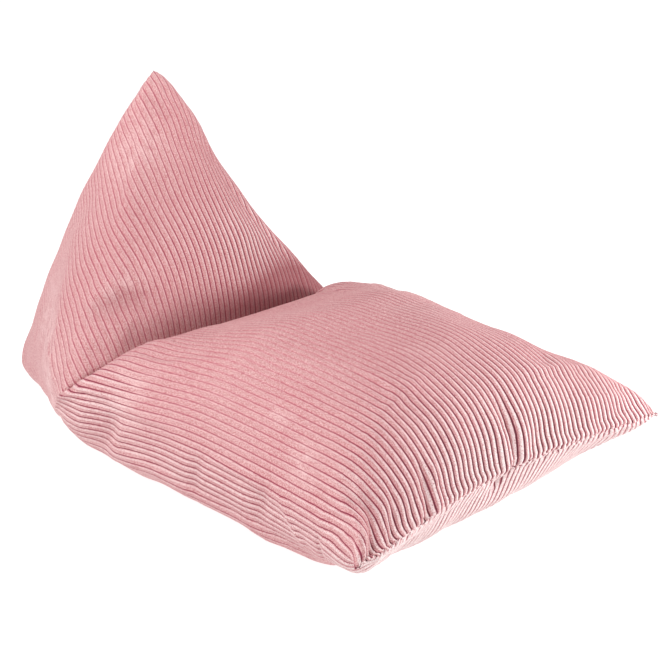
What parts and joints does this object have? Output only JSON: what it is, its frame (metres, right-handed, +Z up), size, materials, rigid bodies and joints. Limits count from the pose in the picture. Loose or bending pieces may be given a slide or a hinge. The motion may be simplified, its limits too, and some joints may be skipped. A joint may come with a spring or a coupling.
{
  "type": "bean bag lounger",
  "caption": "Floor lounger: a filled corduroy tube with a low crowned seat, a crease behind it and a back that rises to a peak.",
  "frame": {"origin": "middle of the bounding box's base, on the surface that the lounger lies on", "axes": "+Z up, the front seam towards -Y, the peak and the tail towards +Y, the sitter's width along X"},
  "size_m": [0.593, 1.015, 0.506],
  "materials": {
    "corduroy": "dusty pink wide-wale corduroy, matt with a soft pile sheen"
  },
  "bodies": {
    "root": {"lounger": "corduroy"}
  },
  "joints": []
}
